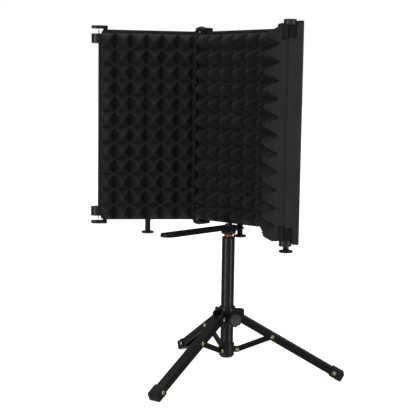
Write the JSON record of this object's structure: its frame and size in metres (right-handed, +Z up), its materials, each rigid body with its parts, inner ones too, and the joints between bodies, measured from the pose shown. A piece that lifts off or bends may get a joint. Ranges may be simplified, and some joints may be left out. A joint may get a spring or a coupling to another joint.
{
  "type": "microphone isolation shield",
  "caption": "Folding acoustic shield of hinged foam-lined trays on a small folding desktop tripod, with a flat microphone arm.",
  "frame": {"origin": "on the floor under the middle of the whole object's box; the stand's tube is 42 mm behind it", "axes": "+Z up along the tube, the shield's hollow side and the microphone arm face -Y, +X to the right seen from the front of the foam looking back along +Y"},
  "size_m": [0.4418, 0.3279, 0.6012],
  "materials": {
    "tray_paint": "satin powder coat",
    "foam": "open-cell foam, matt",
    "hinge_casting": "satin",
    "foot_screw": "satin",
    "hidden_steel": "plain",
    "black_screw": "semi-gloss black oxide",
    "nylon": "plain",
    "arm_paint": "satin",
    "thread_brass": "worn brass",
    "knob_plastic": "moulded",
    "tube_paint": "semi-gloss",
    "hub_plastic": "moulded",
    "rivet_brass": "domed, slightly dull",
    "leg_paint": "semi-gloss",
    "foot_rubber": "moulded"
  },
  "bodies": {
    "stand": {"tube": "tube_paint", "tube_cap": "knob_plastic", "tube_plug": "knob_plastic", "bottom_collar": "hub_plastic", "collar_rivets": "rivet_brass", "stud": "hidden_steel", "thread_ring": "thread_brass", "arm_washer": "black_screw", "arm_screw": "black_screw"},
    "clamp_nut": {"clamp_nut": "knob_plastic"},
    "leg_hub": {"leg_hub": "hub_plastic", "hub_rivets": "rivet_brass"},
    "hub_knob": {"hub_knob": "knob_plastic", "knob_screw": "hidden_steel"},
    "shield_plate": {"shield_plate": "arm_paint"},
    "mic_arm": {"mic_arm": "arm_paint"},
    "center_panel": {"center_tray": "tray_paint", "center_foam": "foam", "center_top_socket": "hinge_casting", "center_bottom_socket": "hinge_casting", "center_top_barrel": "hinge_casting", "center_bottom_barrel": "hinge_casting", "center_foot_insert": "hidden_steel", "shield_spacer": "arm_paint", "left_hinge_screws": "black_screw", "left_hinge_washers": "nylon"},
    "left_wing": {"left_tray": "tray_paint", "left_foam": "foam", "left_top_socket": "hinge_casting", "left_bottom_socket": "hinge_casting", "left_top_barrel": "hinge_casting", "left_bottom_barrel": "hinge_casting", "left_foot_insert": "hidden_steel"},
    "right_wing": {"right_tray": "tray_paint", "right_foam": "foam", "right_top_socket": "hinge_casting", "right_bottom_socket": "hinge_casting", "right_top_barrel": "hinge_casting", "right_bottom_barrel": "hinge_casting", "right_foot_insert": "hidden_steel", "right_hinge_screws": "black_screw", "right_hinge_washers": "nylon"},
    "left_foot": {"left_foot": "foot_screw"},
    "center_foot": {"center_foot": "foot_screw"},
    "right_foot": {"right_foot": "foot_screw"},
    "front_brace": {"front_brace": "leg_paint"},
    "front_leg": {"front_leg": "leg_paint", "front_leg_rivets": "rivet_brass", "front_foot_cap": "foot_rubber"},
    "rear_right_brace": {"rear_right_brace": "leg_paint"},
    "rear_right_leg": {"rear_right_leg": "leg_paint", "rear_right_leg_rivets": "rivet_brass", "rear_right_foot_cap": "foot_rubber"},
    "rear_left_brace": {"rear_left_brace": "leg_paint"},
    "rear_left_leg": {"rear_left_leg": "leg_paint", "rear_left_leg_rivets": "rivet_brass", "rear_left_foot_cap": "foot_rubber"}
  },
  "joints": [
    {"name": "front_brace_fold", "type": "hinge", "parent": "stand", "child": "front_brace", "pos_m": [0.00185, 0.02309, 0.047], "axis": [-0.9952, -0.0976, 0], "range_deg": [0, 64.87]},
    {"name": "front_leg_fold", "type": "hinge", "parent": "front_brace", "child": "front_leg", "pos_m": [0.00771, -0.03667, 0.07185], "axis": [-0.9952, -0.0976, 0], "range_deg": [-126.74, 0]},
    {"name": "rear_right_brace_fold", "type": "hinge", "parent": "stand", "child": "rear_right_brace", "pos_m": [0.01545, 0.05306, 0.047], "axis": [0.5821, -0.8131, 0], "range_deg": [0, 65.17]},
    {"name": "rear_right_leg_fold", "type": "hinge", "parent": "rear_right_brace", "child": "rear_right_leg", "pos_m": [0.06428, 0.08802, 0.07185], "axis": [0.5821, -0.8131, 0], "range_deg": [-126.74, 0]},
    {"name": "rear_left_brace_fold", "type": "hinge", "parent": "stand", "child": "rear_left_brace", "pos_m": [-0.0173, 0.04985, 0.047], "axis": [0.4131, 0.9107, 0], "range_deg": [0, 65.17]},
    {"name": "rear_left_leg_fold", "type": "hinge", "parent": "rear_left_brace", "child": "rear_left_leg", "pos_m": [-0.07199, 0.07466, 0.07185], "axis": [0.4131, 0.9107, 0], "range_deg": [-126.74, 0]},
    {"name": "hub_slide", "type": "slide", "parent": "stand", "child": "leg_hub", "axis": [0, 0, 1], "range_m": [0, 0.07422]},
    {"name": "hub_knob_turn", "type": "hinge", "parent": "leg_hub", "child": "hub_knob", "pos_m": [0.02467, 0.03102, 0.103], "axis": [0.9135, -0.4067, 0], "continuous": true},
    {"name": "clamp_nut_turn", "type": "hinge", "parent": "stand", "child": "clamp_nut", "pos_m": [0, 0.042, 0.249], "axis": [0, 0, 1], "continuous": true},
    {"name": "shield_swing", "type": "hinge", "parent": "stand", "child": "shield_plate", "pos_m": [0, 0.042, 0.2545], "axis": [0, 0, 1], "continuous": true},
    {"name": "arm_swing", "type": "hinge", "parent": "shield_plate", "child": "mic_arm", "pos_m": [0, 0.042, 0.2587], "axis": [0, 0, 1], "range_deg": [-40, 40]},
    {"name": "shield_turn", "type": "hinge", "parent": "shield_plate", "child": "center_panel", "pos_m": [0, 0.072, 0.2545], "axis": [0, 0, 1], "range_deg": [-20, 20]},
    {"name": "left_wing_fold", "type": "hinge", "parent": "center_panel", "child": "left_wing", "pos_m": [-0.0905, 0.0655, 0.427], "axis": [0, 0, 1], "range_deg": [-60, 5]},
    {"name": "right_wing_fold", "type": "hinge", "parent": "center_panel", "child": "right_wing", "pos_m": [0.0905, 0.0655, 0.427], "axis": [0, 0, -1], "range_deg": [-60, 5]},
    {"name": "left_foot_turn", "type": "hinge", "parent": "left_wing", "child": "left_foot", "pos_m": [-0.15422, 0.0009, 0.251], "axis": [0, 0, 1], "continuous": true},
    {"name": "center_foot_turn", "type": "hinge", "parent": "center_panel", "child": "center_foot", "pos_m": [0, 0.072, 0.251], "axis": [0, 0, 1], "continuous": true},
    {"name": "right_foot_turn", "type": "hinge", "parent": "right_wing", "child": "right_foot", "pos_m": [0.15422, 0.0009, 0.251], "axis": [0, 0, 1], "continuous": true}
  ],
  "couplings": [
    {"joint": "front_leg_fold", "follows": "front_brace_fold", "ratio": -1.946},
    {"joint": "rear_right_leg_fold", "follows": "front_brace_fold", "ratio": -1.946},
    {"joint": "rear_right_brace_fold", "follows": "front_brace_fold", "ratio": 1},
    {"joint": "rear_left_leg_fold", "follows": "front_brace_fold", "ratio": -1.946},
    {"joint": "rear_left_brace_fold", "follows": "front_brace_fold", "ratio": 1},
    {"joint": "hub_slide", "follows": "front_brace_fold", "m_per_rad": 0.065287}
  ]
}
